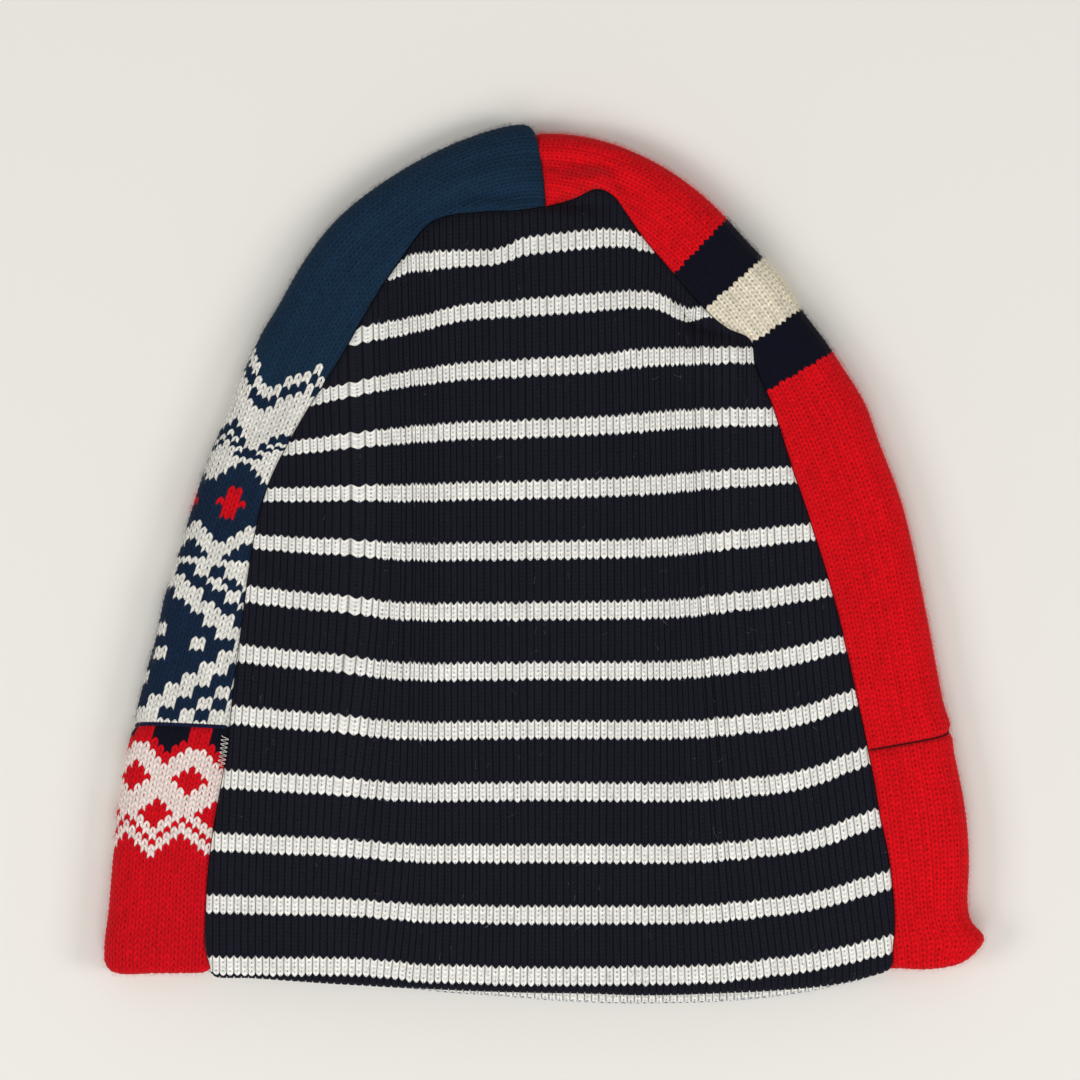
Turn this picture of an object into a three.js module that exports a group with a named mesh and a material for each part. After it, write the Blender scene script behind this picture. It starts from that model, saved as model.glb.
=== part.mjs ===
// A knitted beanie lying flat on its back. Two rib-knit panels, front and back, are joined by a side
// band that runs from the brim up one side, over the crown and down the other side. The band is pieced
// from four knits. Every panel that reaches the brim has a turned-up hem, and the panels are held
// together by overlocked seams on the inside.
//
// Millimetres. +X runs across the hat, +Y from the brim to the crown, +Z up from the table.
// The origin is the middle of the footprint, on the table.

import * as THREE from "three";

// ---- Driving dimensions ----

const brimWidth = 262; // across the brim, from fold to fold
const hatLength = 250; // from the brim's corners to the top of the crown
const clothThickness = 2;

const edgeHeight = 13; // height of the rolled edge, where the side band folds
const foldDepth = 8; // how far the roll reaches in from the edge
const crownRise = 6; // how much higher the middle stands than the rolled edge
const riseLength = 90; // distance from the roll over which the middle rises

const bandOnBack = 28; // width of the side band on the back, from the fold to the seam
const bandOnFront = [
  // the same on the front, at even steps along the fold from the left brim over the crown
  32, 30, 25, 19.5, 24.5, 18, 23.5, 22, 23, 28, 25.5, 24, 26,
];

const leftSeamFromBrim = 75; // where the side band is pieced, along the fold
const rightSeamFromBrim = 70;
const crownSeamOffCentre = -2; // sideways place of the piecing seam at the crown

const frontBrimSag = 5; // how far each brim edge bulges past the brim's corners
const backBrimSag = 8;
const hemHeight = 17;
const hemGap = 0.4; // between a panel and its turned-up hem

const seamGap = 0.3; // between neighbouring pieces of cloth
const ridgeWidth = 7; // an overlocked seam allowance
const ridgeThickness = 1.4;
const ridgeGap = 0.3; // between the cloth and the seam allowance under it

// ---- Mesh fineness ----

const panelColumns = 14;
const panelRows = 14;
const foldSteps = 4;
const hemRows = 3;
const rollSteps = 8;
const flatSteps = 2;
const bandStep = 9; // longest step along the side band

// ---- The outline, seen from above ----

// The folded edge from the left brim corner over the crown to the right brim corner. The first number
// is the share of half the brim's width, and the second the share of the hat's length.
const edgeShape = [
  [-1, 0],
  [-0.975, 0.19],
  [-0.865, 0.43],
  [-0.75, 0.625],
  [-0.575, 0.815],
  [-0.285, 0.96],
  [-0.02, 1],
  [0.25, 0.96],
  [0.49, 0.855],
  [0.7, 0.695],
  [0.835, 0.505],
  [0.92, 0.29],
  [0.965, 0.13],
  [0.99, 0],
];
const edge = new THREE.CatmullRomCurve3(
  edgeShape.map(([across, along]) => new THREE.Vector3((across * brimWidth) / 2, along * hatLength, 0)),
  false,
  "centripetal",
);
edge.arcLengthDivisions = 600;
const edgeLength = edge.getLength();

function edgePoint(along) {
  return edge.getPointAt(THREE.MathUtils.clamp(along / edgeLength, 0, 1));
}

function edgeInward(along) {
  const tangent = edge.getTangentAt(THREE.MathUtils.clamp(along / edgeLength, 0, 1));
  return new THREE.Vector3(tangent.y, -tangent.x, 0).normalize();
}

const frontWidths = new THREE.CubicInterpolant(
  bandOnFront.map((width, i) => (i * edgeLength) / (bandOnFront.length - 1)),
  bandOnFront,
  1,
);

function frontWidth(along) {
  return frontWidths.evaluate(THREE.MathUtils.clamp(along, 0, edgeLength))[0];
}

function backWidth() {
  return bandOnBack;
}

// A point on the plan, a distance in from the folded edge.
function insideEdge(along, distance) {
  return edgePoint(along).addScaledVector(edgeInward(along), distance);
}

const edgeSamples = edge.getSpacedPoints(160);

// Distance on the plan from a point to the folded edge.
function distanceToEdge(x, y) {
  let nearest = Infinity;
  for (let i = 1; i < edgeSamples.length; i += 1) {
    const a = edgeSamples[i - 1];
    const b = edgeSamples[i];
    const dx = b.x - a.x;
    const dy = b.y - a.y;
    const part = ((x - a.x) * dx + (y - a.y) * dy) / (dx * dx + dy * dy);
    const t = THREE.MathUtils.clamp(part, 0, 1);
    nearest = Math.min(nearest, Math.hypot(x - a.x - t * dx, y - a.y - t * dy));
  }
  return nearest;
}

function seamCrossing(sideways) {
  let low = 0;
  let high = edgeLength;
  for (let i = 0; i < 40; i += 1) {
    const middle = (low + high) / 2;
    if (edgePoint(middle).x < sideways) low = middle;
    else high = middle;
  }
  return (low + high) / 2;
}

const crownSeam = seamCrossing(crownSeamOffCentre);
const leftSeam = leftSeamFromBrim;
const rightSeam = edgeLength - rightSeamFromBrim;

// ---- Heights ----

// Height of the cloth's middle layer on the upper side, a distance in from the folded edge.
function upperHeight(distance) {
  const part = THREE.MathUtils.clamp((distance - foldDepth) / riseLength, 0, 1);
  return edgeHeight - clothThickness / 2 + crownRise * Math.sin((part * Math.PI) / 2);
}

const lowerHeight = clothThickness / 2;

// ---- Surfaces: each gives a point on the cloth's middle layer ----

// The side band. The first number is the distance along the fold. The second runs from -1 at the front
// seam, through 0 at the fold, to 1 at the back seam.
function bandSurface(along, across) {
  const roll = 0.5; // the share of each half that is rolled
  const rollRadius = foldDepth - clothThickness / 2;
  const halfHeight = (edgeHeight - clothThickness) / 2;
  if (Math.abs(across) <= roll) {
    const angle = (across / roll) * (Math.PI / 2);
    const point = insideEdge(along, foldDepth - rollRadius * Math.cos(angle));
    point.z = edgeHeight / 2 - halfHeight * Math.sin(angle);
    return point;
  }
  const part = (Math.abs(across) - roll) / (1 - roll);
  const width = across < 0 ? frontWidth(along) : backWidth();
  const distance = THREE.MathUtils.lerp(foldDepth, width - seamGap / 2, part);
  const point = insideEdge(along, distance);
  point.z = across < 0 ? upperHeight(distance) : lowerHeight;
  return point;
}

// A panel inside its seam, as a patch stretched between its brim, its two side seams and its crown seam.
// Across and upward both run from 0 to 1.
const crownCornerShare = 0.42; // the side seams end at this share of the fold's length

function panelSurface(widthAt, brimSag, heightAt) {
  function seamPoint(along) {
    return insideEdge(along, widthAt(along) + seamGap / 2);
  }
  const cornerLeft = crownCornerShare * edgeLength;
  const cornerRight = edgeLength - cornerLeft;
  const left = (upward) => seamPoint(cornerLeft * upward);
  const right = (upward) => seamPoint(edgeLength - cornerLeft * upward);
  const top = (across) => seamPoint(THREE.MathUtils.lerp(cornerLeft, cornerRight, across));
  const bottom = (across) => {
    const point = left(0).lerp(right(0), across);
    point.y -= brimSag * Math.sin(Math.PI * across);
    return point;
  };
  const corners = [left(0), right(0), left(1), right(1)];
  return function patch(across, upward) {
    const point = new THREE.Vector3();
    point.addScaledVector(bottom(across), 1 - upward);
    point.addScaledVector(top(across), upward);
    point.addScaledVector(left(upward), 1 - across);
    point.addScaledVector(right(upward), across);
    point.addScaledVector(corners[0], -(1 - across) * (1 - upward));
    point.addScaledVector(corners[1], -across * (1 - upward));
    point.addScaledVector(corners[2], -(1 - across) * upward);
    point.addScaledVector(corners[3], -across * upward);
    point.z = heightAt(point);
    return point;
  };
}

const frontSurface = panelSurface(frontWidth, frontBrimSag, (point) =>
  upperHeight(distanceToEdge(point.x, point.y)),
);
const backSurface = panelSurface(backWidth, backBrimSag, () => lowerHeight);

// ---- Building closed sheets ----

// The point, the outward normal and the direction away from the brim, at one place on a surface.
function frameAt(surface, a, b, aRange, bRange, faces) {
  const aStep = (aRange[1] - aRange[0]) * 0.01;
  const bStep = (bRange[1] - bRange[0]) * 0.01;
  const inRange = (value, range) => {
    const low = Math.min(range[0], range[1]);
    return THREE.MathUtils.clamp(value, low, Math.max(range[0], range[1]));
  };
  const alongA = surface(inRange(a + aStep, aRange), b).sub(surface(inRange(a - aStep, aRange), b));
  const alongB = surface(a, inRange(b + bStep, bRange)).sub(surface(a, inRange(b - bStep, bRange)));
  const normal = alongA.clone().cross(alongB).normalize();
  if (faces < 0) normal.negate();
  return { point: surface(a, b), normal, alongA: alongA.normalize(), alongB: alongB.normalize() };
}

// A closed sheet from a grid of stations, each with a point and a normal.
function sheetGeometry(grid, thickness) {
  const rows = grid.length;
  const columns = grid[0].length;
  const positions = [];
  for (const side of [0.5, -0.5]) {
    for (const row of grid) {
      for (const station of row) {
        const point = station.point.clone().addScaledVector(station.normal, side * thickness);
        positions.push(point.x, point.y, point.z);
      }
    }
  }
  const indices = [];
  const at = (layer, row, column) => layer * rows * columns + row * columns + column;
  const quad = (a, b, c, d) => indices.push(a, b, c, a, c, d);
  for (let r = 0; r + 1 < rows; r += 1) {
    for (let c = 0; c + 1 < columns; c += 1) {
      quad(at(0, r, c), at(0, r, c + 1), at(0, r + 1, c + 1), at(0, r + 1, c));
      quad(at(1, r, c), at(1, r + 1, c), at(1, r + 1, c + 1), at(1, r, c + 1));
    }
    quad(at(0, r, 0), at(0, r + 1, 0), at(1, r + 1, 0), at(1, r, 0));
    quad(at(0, r + 1, columns - 1), at(0, r, columns - 1), at(1, r, columns - 1), at(1, r + 1, columns - 1));
  }
  for (let c = 0; c + 1 < columns; c += 1) {
    quad(at(0, 0, c + 1), at(0, 0, c), at(1, 0, c), at(1, 0, c + 1));
    quad(at(0, rows - 1, c), at(0, rows - 1, c + 1), at(1, rows - 1, c + 1), at(1, rows - 1, c));
  }
  const geometry = new THREE.BufferGeometry();
  geometry.setAttribute("position", new THREE.Float32BufferAttribute(positions, 3));
  geometry.setIndex(signedVolume(positions, indices) < 0 ? indices.reverse() : indices);
  geometry.computeVertexNormals();
  return geometry;
}

function signedVolume(positions, indices) {
  const corner = (i) => new THREE.Vector3().fromArray(positions, indices[i] * 3);
  let volume = 0;
  for (let i = 0; i < indices.length; i += 3) {
    volume += corner(i).dot(corner(i + 1).cross(corner(i + 2))) / 6;
  }
  return volume;
}

function evenly(from, to, steps) {
  return Array.from({ length: steps + 1 }, (unused, i) => THREE.MathUtils.lerp(from, to, i / steps));
}

// The rows of a turned-up hem: the flap on the inside, then the fold round the brim. Each row is given
// the stations of the cloth's own rows, and the direction away from the brim.
function hemGrid(rowAt, hemPlaces, away) {
  const radius = (clothThickness + hemGap) / 2;
  const flap = hemPlaces.map((place) =>
    rowAt(place).map((station) => ({
      point: station.point.clone().addScaledVector(station.normal, -2 * radius),
      normal: station.normal.clone().negate(),
    })),
  );
  const brim = rowAt(0);
  const angles = evenly(Math.PI, 0, foldSteps).slice(1, -1);
  const turn = angles.map((angle) =>
    brim.map((station) => {
      const outward = station.normal.clone().multiplyScalar(Math.cos(angle));
      outward.addScaledVector(away(station), -Math.sin(angle));
      const point = station.point.clone().addScaledVector(station.normal, -radius);
      return { point: point.addScaledVector(outward, radius), normal: outward };
    }),
  );
  return [...flap, ...turn];
}

function panelGeometry(surface, faces) {
  const rowAt = (upward) =>
    evenly(0, 1, panelColumns).map((across) => frameAt(surface, across, upward, [0, 1], [0, 1], faces));
  const sideLength = crownCornerShare * edgeLength;
  const hemPlaces = evenly(hemHeight / sideLength, 0, hemRows);
  const grid = [
    ...hemGrid(rowAt, hemPlaces, (station) => station.alongB),
    ...evenly(0, 1, panelRows).map(rowAt),
  ];
  return sheetGeometry(grid, clothThickness);
}

const bandStations = [
  ...evenly(-1, -0.5, flatSteps).slice(0, -1),
  ...evenly(-0.5, 0.5, rollSteps),
  ...evenly(0.5, 1, flatSteps).slice(1),
];

function bandFrame(along, across) {
  return frameAt(bandSurface, along, across, [0, edgeLength], [-1, 1], 1);
}

// One piece of the side band, between two distances along the fold. A piece that reaches the brim has
// a hem at its first end.
function bandGeometry(from, to, hemmed) {
  const direction = Math.sign(to - from);
  const start = hemmed ? from : from + (direction * seamGap) / 2;
  const end = to - (direction * seamGap) / 2;
  const rowAt = (distance) => bandStations.map((across) => bandFrame(start + direction * distance, across));
  const length = Math.abs(end - start);
  const grid = evenly(0, length, Math.ceil(length / bandStep)).map(rowAt);
  if (hemmed) {
    const away = (station) => station.alongA.clone().multiplyScalar(direction);
    grid.unshift(...hemGrid(rowAt, evenly(hemHeight, 0, hemRows), away));
  }
  return sheetGeometry(grid, clothThickness);
}

// ---- Overlocked seams on the inside ----

const ridgeDepth = clothThickness / 2 + ridgeGap + ridgeThickness / 2;
const ridgeStart = hemHeight + ridgeGap;

// A long seam, under the line where a panel meets the side band.
function longSeamGeometry(from, to, widthAt, heightAt, faces) {
  const halfWidth = ridgeWidth / 2;
  const surface = (along, across) => {
    const distance = widthAt(along) + across;
    const point = insideEdge(along, distance);
    point.z = heightAt(distance);
    return point;
  };
  const grid = evenly(from, to, Math.ceil(Math.abs(to - from) / bandStep)).map((along) =>
    evenly(-halfWidth, halfWidth, 2).map((across) => {
      const station = frameAt(surface, along, across, [0, edgeLength], [-halfWidth, halfWidth], faces);
      station.point.addScaledVector(station.normal, -ridgeDepth);
      return station;
    }),
  );
  return sheetGeometry(grid, ridgeThickness);
}

// A seam across the side band, running round inside the fold from one long seam to the other.
function crossSeamGeometry(along) {
  const clear = ridgeWidth / 2 + ridgeGap;
  const flat = (width) => 1 - (0.5 * clear) / (width - seamGap / 2 - foldDepth);
  const frontEnd = flat(frontWidth(along));
  const backEnd = flat(backWidth());
  const places = [
    ...evenly(-frontEnd, -0.5, flatSteps).slice(0, -1),
    ...evenly(-0.5, 0.5, rollSteps),
    ...evenly(0.5, backEnd, flatSteps).slice(1),
  ];
  const grid = evenly(along - ridgeWidth / 2, along + ridgeWidth / 2, 2).map((place) =>
    places.map((across) => {
      const station = bandFrame(place, across);
      station.point.addScaledVector(station.normal, -ridgeDepth);
      return station;
    }),
  );
  return sheetGeometry(grid, ridgeThickness);
}

// ---- The assembly ----

const hat = new THREE.Group();

function addPiece(name, geometry, colour, roughness) {
  const material = new THREE.MeshStandardMaterial({ color: colour, roughness, metalness: 0 });
  const mesh = new THREE.Mesh(geometry, material);
  mesh.name = name;
  hat.add(mesh);
}

const navy = 0x18181f;
const teal = 0x17344a;
const scarlet = 0xc00f1a;
const crimson = 0xbb0f1d;
const navyThread = 0x1c2030;
const redThread = 0x8c1018;
const woolRoughness = 0.95;
const threadRoughness = 0.85;

addPiece("front_panel", panelGeometry(frontSurface, 1), navy, woolRoughness);
addPiece("back_panel", panelGeometry(backSurface, -1), navy, woolRoughness);
addPiece("side_band_left_lower", bandGeometry(0, leftSeam, true), crimson, woolRoughness);
addPiece("side_band_left_upper", bandGeometry(leftSeam, crownSeam, false), teal, woolRoughness);
addPiece("side_band_right_upper", bandGeometry(rightSeam, crownSeam, false), scarlet, woolRoughness);
addPiece("side_band_right_lower", bandGeometry(edgeLength, rightSeam, true), scarlet, woolRoughness);

const leftRun = [ridgeStart, crownSeam - ridgeGap / 2];
const rightRun = [crownSeam + ridgeGap / 2, edgeLength - ridgeStart];
const longSeams = {
  front_left_seam: [...leftRun, frontWidth, upperHeight, -1],
  front_right_seam: [...rightRun, frontWidth, upperHeight, -1],
  back_left_seam: [...leftRun, backWidth, () => lowerHeight, 1],
  back_right_seam: [...rightRun, backWidth, () => lowerHeight, 1],
};
for (const [name, values] of Object.entries(longSeams)) {
  addPiece(name, longSeamGeometry(...values), navyThread, threadRoughness);
}

const crossSeams = {
  left_cross_seam: [leftSeam, redThread],
  crown_cross_seam: [crownSeam, navyThread],
  right_cross_seam: [rightSeam, redThread],
};
for (const [name, [along, colour]] of Object.entries(crossSeams)) {
  addPiece(name, crossSeamGeometry(along), colour, threadRoughness);
}

const box = new THREE.Box3().setFromObject(hat, true);
const middle = box.getCenter(new THREE.Vector3());
hat.position.set(-middle.x, -middle.y, -box.min.z);

export default hat;
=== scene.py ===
import math

import bpy
import numpy as np
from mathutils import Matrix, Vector
from mathutils.geometry import delaunay_2d_cdt


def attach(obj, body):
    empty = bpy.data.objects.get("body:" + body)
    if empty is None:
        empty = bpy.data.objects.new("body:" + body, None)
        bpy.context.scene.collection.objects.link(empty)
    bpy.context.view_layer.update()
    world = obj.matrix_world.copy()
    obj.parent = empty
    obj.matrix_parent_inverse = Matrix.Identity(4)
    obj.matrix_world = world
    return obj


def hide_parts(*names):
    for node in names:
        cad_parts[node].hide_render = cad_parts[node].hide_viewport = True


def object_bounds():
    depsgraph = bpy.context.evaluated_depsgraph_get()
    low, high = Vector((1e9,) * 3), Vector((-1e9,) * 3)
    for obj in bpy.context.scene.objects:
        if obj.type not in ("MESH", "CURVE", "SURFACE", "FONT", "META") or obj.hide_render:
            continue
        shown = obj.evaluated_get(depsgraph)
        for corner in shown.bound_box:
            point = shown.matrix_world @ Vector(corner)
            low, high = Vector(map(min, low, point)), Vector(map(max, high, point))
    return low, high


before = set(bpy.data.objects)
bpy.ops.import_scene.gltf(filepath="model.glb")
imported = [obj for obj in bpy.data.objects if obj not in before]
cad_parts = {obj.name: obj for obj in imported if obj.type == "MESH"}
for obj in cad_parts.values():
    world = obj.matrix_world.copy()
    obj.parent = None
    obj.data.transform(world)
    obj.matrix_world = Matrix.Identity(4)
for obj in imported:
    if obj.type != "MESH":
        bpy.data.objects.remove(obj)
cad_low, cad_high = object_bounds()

# A knitted beanie lying flat on its back. Every cloth piece is a lattice of knitted stitches: wales run
# along the cloth and courses run across it. A lattice is bent into shape, trimmed to its seams, folded
# at the brim for the hem, and closed with an inner layer.
#
# Lengths are in millimetres until a mesh is made. +X runs across the hat, +Y from the brim to the
# crown, +Z up from the table.

MM = 0.001
rng = np.random.default_rng(11)

# ---- Sizes ----

HALF_BRIM = 131
HAT_LENGTH = 250
CLOTH = 1.8  # thickness from the crests of the stitches to the inside
EDGE_HEIGHT = 13  # height of the rolled edge
ROLL = 8  # how far the roll reaches in from the edge
RISE = 6  # how much higher the middle stands than the rolled edge
RISE_LENGTH = 90
FLOOR_GAP = 0.55  # from the table to the middle of the lowest stitches
FOLD_RADIUS = 2.0  # of the hem's fold at the brim
HALF_TURN = math.pi * FOLD_RADIUS  # the cloth's length round that fold
HEM = 17
SEAM_GAP = 0.1
GROOVE_DEPTH = 1.5
GROOVE_WIDTH = 1.1
SEAM_FADE = 0.8  # how soon the stitches reach their full relief beside a seam

RIB_WALE = 2.14
RIB_COURSE = 1.314
KNIT_WALE = 2.15
JACQUARD_COURSE = 1.86
PLAIN_COURSE = 1.6

EDGE_SHAPE = [
    (-1, 0), (-0.975, 0.19), (-0.865, 0.43), (-0.75, 0.625), (-0.575, 0.815), (-0.285, 0.96), (-0.02, 1),
    (0.25, 0.96), (0.49, 0.855), (0.7, 0.695), (0.835, 0.505), (0.92, 0.29), (0.965, 0.13), (0.99, 0),
]
# The band's width on the front: the distance along the edge from the left brim, and the width there.
BAND_ON_FRONT = [
    (0, 31.5), (6, 29.6), (15, 29.1), (33, 29.4), (51, 29.8), (64, 29.6), (76, 28.6), (101, 25), (152, 19.5),
    (203, 24.5), (240, 20.5), (259, 17.6), (278, 22), (293, 24.4), (309, 23.3), (320, 19.4), (327, 14.6),
    (333, 14.6), (340, 17.6), (349, 20.6), (360, 22.6), (384, 24), (394, 22.4), (402, 18.8), (410, 22),
    (423, 23.6), (444, 26.2), (470, 26.6), (507, 25.7), (540, 24.6), (562, 24), (572, 23.2), (584, 23),
    (595, 23.4), (602, 24.6), (608.4, 25.4),
]
BAND_ON_BACK = 28


# ---- Colours ----

def srgb(red, green, blue):
    values = np.array([red, green, blue]) / 255
    return np.where(values <= 0.04045, values / 12.92, ((values + 0.055) / 1.055) ** 2.4)


NAVY = srgb(25, 25, 36)
WHITE = srgb(246, 244, 236)
SCARLET = srgb(228, 8, 22)
CRIMSON = srgb(216, 8, 25)
PINK_WHITE = srgb(247, 230, 222)
LIGHT = srgb(238, 235, 226)
TEAL = srgb(21, 47, 70)
DEEP_BLUE = srgb(19, 38, 62)
BAND_NAVY = srgb(13, 13, 30)
CREAM = srgb(243, 232, 208)
GREY_BLUE = srgb(150, 163, 182)
PALETTE = np.array([
    NAVY, WHITE, SCARLET, CRIMSON, PINK_WHITE, LIGHT, TEAL, DEEP_BLUE, BAND_NAVY, CREAM, GREY_BLUE,
])
I_NAVY, I_WHITE, I_SCARLET, I_CRIMSON, I_PINK, I_LIGHT, I_TEAL = range(7)
I_DEEP, I_BAND_NAVY, I_CREAM, I_GREY = range(7, 11)


# ---- Curves ----

def smooth_curve(points, samples=60):
    """A centripetal Catmull-Rom curve through the points."""
    points = np.asarray(points, float)
    ends = [2 * points[0] - points[1]], [2 * points[-1] - points[-2]]
    padded = np.concatenate([ends[0], points, ends[1]])
    step = np.linspace(0, 1, samples, endpoint=False)[:, None]
    parts = []
    for i in range(1, len(padded) - 2):
        a, b, c, d = padded[i - 1 : i + 3]
        spans = ((a, b), (b, c), (c, d))
        before, along, after = (max(math.sqrt(np.linalg.norm(q - p)), 1e-4) for p, q in spans)
        leave = ((b - a) / before - (c - a) / (before + along) + (c - b) / along) * along
        arrive = ((c - b) / along - (d - b) / (along + after) + (d - c) / after) * along
        cubic = 2 * b - 2 * c + leave + arrive
        square = -3 * b + 3 * c - 2 * leave - arrive
        parts.append(b + step * leave + step**2 * square + step**3 * cubic)
    return np.concatenate([*parts, points[-1:]])


def arc_lengths(points):
    return np.append(0, np.cumsum(np.linalg.norm(np.diff(points, axis=0), axis=1)))


def smooth_table(pairs):
    """A smooth function of one number through the pairs."""
    curve = smooth_curve(pairs)
    return lambda x: np.interp(x, curve[:, 0], curve[:, 1])


def bell(x):
    return np.exp(-np.square(x))


# ---- The folded edge and the seams, seen from above ----

edge_raw = smooth_curve(np.array(EDGE_SHAPE) * [HALF_BRIM, HAT_LENGTH])
edge_arc = arc_lengths(edge_raw)
EDGE_LENGTH = edge_arc[-1]
SPARE = 14  # how far the edge is carried on past the brim, for the hem's fold
EDGE_STEP = 0.4
END_POINTS = 20  # the edge's direction at the brim is taken over this many points
edge_s = np.arange(-SPARE, EDGE_LENGTH + SPARE, EDGE_STEP)
inner_s = np.clip(edge_s, 0, EDGE_LENGTH)
edge_xy = np.stack([np.interp(inner_s, edge_arc, edge_raw[:, i]) for i in (0, 1)], 1)
start_way = edge_raw[END_POINTS] - edge_raw[0]
start_way /= np.linalg.norm(start_way)
end_way = edge_raw[-1] - edge_raw[-1 - END_POINTS]
end_way /= np.linalg.norm(end_way)
edge_xy += np.minimum(edge_s, 0)[:, None] * start_way
edge_xy += np.maximum(edge_s - EDGE_LENGTH, 0)[:, None] * end_way
edge_xy += [cad_low.x / MM + HALF_BRIM, cad_high.y / MM - HAT_LENGTH]
edge_way = np.gradient(edge_xy, axis=0)
edge_way /= np.linalg.norm(edge_way, axis=1)[:, None]
edge_in = np.stack([edge_way[:, 1], -edge_way[:, 0]], 1)

# The edge is a little uneven: (place along the edge, how far it stands out, how long the bulge is).
EDGE_BULGES = [
    (5, 0.9, 8), (35, -0.5, 14), (112, 0.7, 9), (206, -0.7, 9), (236, 1.9, 20), (378, -0.8, 12),
    (405, -1, 9), (437, 1.2, 10), (468, 1.2, 20), (538, 1.1, 5), (563, 1.6, 20), (EDGE_LENGTH - 17.5, -1.2, 8),
    (EDGE_LENGTH - 7, 3.2, 3.6),
]
CROWN = 302
CROWN_STEP_LENGTH = 17
BULGE_DEPTH = 12  # how far in from the edge a bulge reaches


def edge_bulge(s, distance, crown_step):
    """How far the edge stands out. crown_step is how far a knit does at the crown's seam."""
    out = sum(out * bell((s - place) / length) for place, out, length in EDGE_BULGES)
    out = out + crown_step * bell((s - CROWN) / CROWN_STEP_LENGTH)
    return out * bell(distance / BULGE_DEPTH)


front_width = smooth_table(BAND_ON_FRONT)


def along_edge(values, s):
    return np.stack([np.interp(s, edge_s, values[:, i]) for i in range(values.shape[1])], -1)


def seam_curve(width):
    return edge_xy + edge_in * np.asarray(width)[..., None]


front_seam = seam_curve(front_width(np.clip(edge_s, 0, EDGE_LENGTH)))
back_seam = seam_curve(np.full(len(edge_s), float(BAND_ON_BACK)))


def nearest(x, y, curve):
    """For each place on the plan: the index of the nearest point of the curve, and the distance to it."""
    places = np.stack([np.ravel(x), np.ravel(y)], 1)
    index = np.empty(len(places), int)
    squares = (curve**2).sum(1)
    for start in range(0, len(places), 8192):
        part = places[start : start + 8192]
        index[start : start + 8192] = (squares - 2 * part @ curve.T).argmin(1)
    distance = np.linalg.norm(places - curve[index], axis=1)
    return index.reshape(np.shape(x)), distance.reshape(np.shape(x))


def inside_curve(x, y, curve):
    """Signed distance from the curve to each place, positive on the side away from the folded edge, and
    the way to go to get further in."""
    index, _ = nearest(x, y, curve)
    way = np.gradient(curve, axis=0)
    way /= np.linalg.norm(way, axis=1)[:, None]
    inward = np.stack([way[:, 1], -way[:, 0]], 1)[index]
    offset = np.stack([x, y], -1) - curve[index]
    return (offset * inward).sum(-1), inward


# ---- Heights ----

# Soft folds in the upper cloth: place, direction in degrees, half length, half width and height.
FOLDS = [
    (-20, 20, 78, 60, 16, 0.7),
    (35, -20, 100, 55, 18, -0.6),
    (-60, -60, 85, 45, 14, 0.5),
    (70, -80, 95, 40, 12, 0.6),
    (10, -95, 5, 50, 12, -0.5),
    (42.3, 76.5, -65, 8, 1.7, -2.8),
    (52.4, 70.2, -18, 11, 2.4, -3.6),
    (46, 62, -25, 14, 4, 0.9),
    (13, 115.5, 9, 9, 2.4, 2.2),
    (23, 109, -55, 10, 2.6, 1.8),
    (9, 121, 0, 13, 2.8, -2.4),
    (22, 117, -50, 8, 3, -1.2),
    (8, 108.5, -6, 10, 2.6, -2.6),
    (-12, 111, 0, 11, 3, -2.4),
    (-22, 116, 18, 14, 3.0, 1.8),
    (-30, 107, 26, 13, 3, -2.0),
]


def folds_at(x, y):
    total = np.zeros(np.shape(x))
    for at_x, at_y, turn, half_length, half_width, height in FOLDS:
        c, s = math.cos(math.radians(turn)), math.sin(math.radians(turn))
        along = (x - at_x) * c + (y - at_y) * s
        across = (y - at_y) * c - (x - at_x) * s
        total += height * bell(along / half_length) * bell(across / half_width)
    ripple = np.sin(x / 13 + 1.3 * np.sin(y / 31)) * np.sin(y / 17 + 0.7 * np.sin(x / 23))
    return total + 0.22 * ripple


def upper_height(distance):
    part = np.clip((distance - ROLL) / RISE_LENGTH, 0, 1)
    return EDGE_HEIGHT + RISE * np.sin(part * math.pi / 2)


# ---- Stitches ----

FRACTIONS = np.array([0.0, 0.11, 0.42, 0.58, 0.89])  # places of the vertices across one wale
PHASES = np.array([0.0, 0.5])  # and along one course
STEPS = len(FRACTIONS)
HOLE = 2  # the step with the pin-hole between the two legs of a stitch

# Heights over the middle layer, in one stitch: a row for each phase, a column for each fraction.
RIB_RELIEF = np.array([[-0.8, 0.45, 0.3, 0.3, 0.45], [-0.7, 0.95, 1.0, 1.0, 0.95]])
KNIT_RELIEF = np.array([[-0.4, 0.3, -0.2, -0.2, 0.3], [0.4, 0.95, 0.8, 0.8, 0.95]])


class Lattice:
    """The vertices of a knitted piece: rows along the courses, columns along the wales."""

    def __init__(self, wales, courses, slant, relief, height):
        wale_numbers = np.arange(*wales)
        course_numbers = np.arange(*courses)
        columns = np.append((wale_numbers[:, None] + FRACTIONS).ravel(), wales[1])
        rows = np.append((course_numbers[:, None] + PHASES).ravel(), courses[1])
        self.u, self.v = np.meshgrid(columns, rows)
        across = np.abs((self.u + 1e-6) % 1 - 0.5) * 2
        wale_index = np.floor(self.u[0] + 1e-6).astype(int) - wales[0]
        uneven = rng.normal(0, 0.09, len(wale_numbers) + 1)
        self.v_slanted = self.v + slant * across**1.35 + uneven[wale_index]
        phase = rng.uniform(0, 6.3, len(wale_numbers) + 1)[wale_index] * 0.4
        self.u = self.u + 0.07 * np.sin(self.v / 7 + phase)
        repeats = (len(rows) // 2 + 1, len(columns) // STEPS + 1)
        self.share = np.tile(relief, repeats)[: len(rows), : len(columns)]
        self.relief = height * self.share
        self.wale_of_face = np.tile(wale_index[:-1] + wales[0], (len(rows) - 1, 1))
        self.course_of_face = np.floor(self.v[:-1, :-1] + 1e-6).astype(int)


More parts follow.
